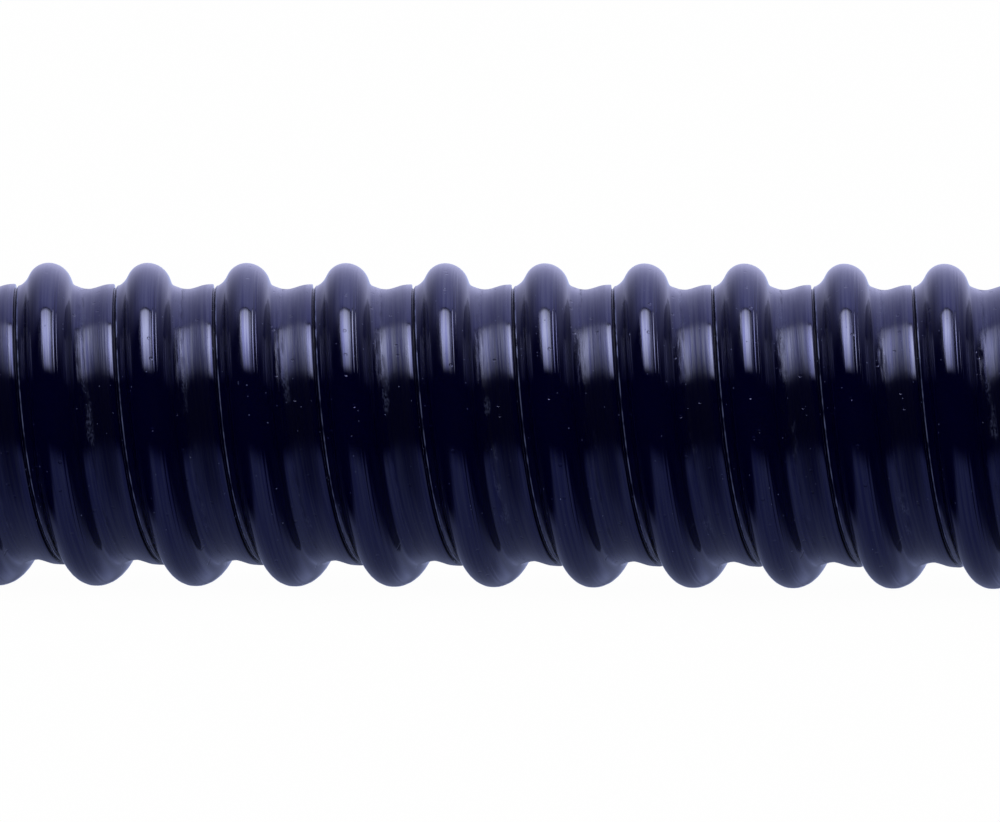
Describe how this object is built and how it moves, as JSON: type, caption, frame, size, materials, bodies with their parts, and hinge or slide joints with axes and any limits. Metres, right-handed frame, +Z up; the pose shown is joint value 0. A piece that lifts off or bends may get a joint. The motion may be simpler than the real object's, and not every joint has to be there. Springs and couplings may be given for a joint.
{
  "type": "corrugated conduit",
  "caption": "One foot of flexible corrugated plastic conduit with a helical rib outside, a smooth bore and square-cut ends; it carries and protects cables.",
  "frame": {"origin": "on the floor, under the middle of the conduit as it lies", "axes": "+X along the bore, +Z up, +Y level across the conduit, right-handed helix about +X"},
  "size_m": [0.3048, 0.0334, 0.0334],
  "materials": {
    "black_pvc": "glossy blue-black PVC with fine die lines, pits and dust"
  },
  "bodies": {
    "root": {"conduit_wall": "black_pvc"}
  },
  "joints": []
}
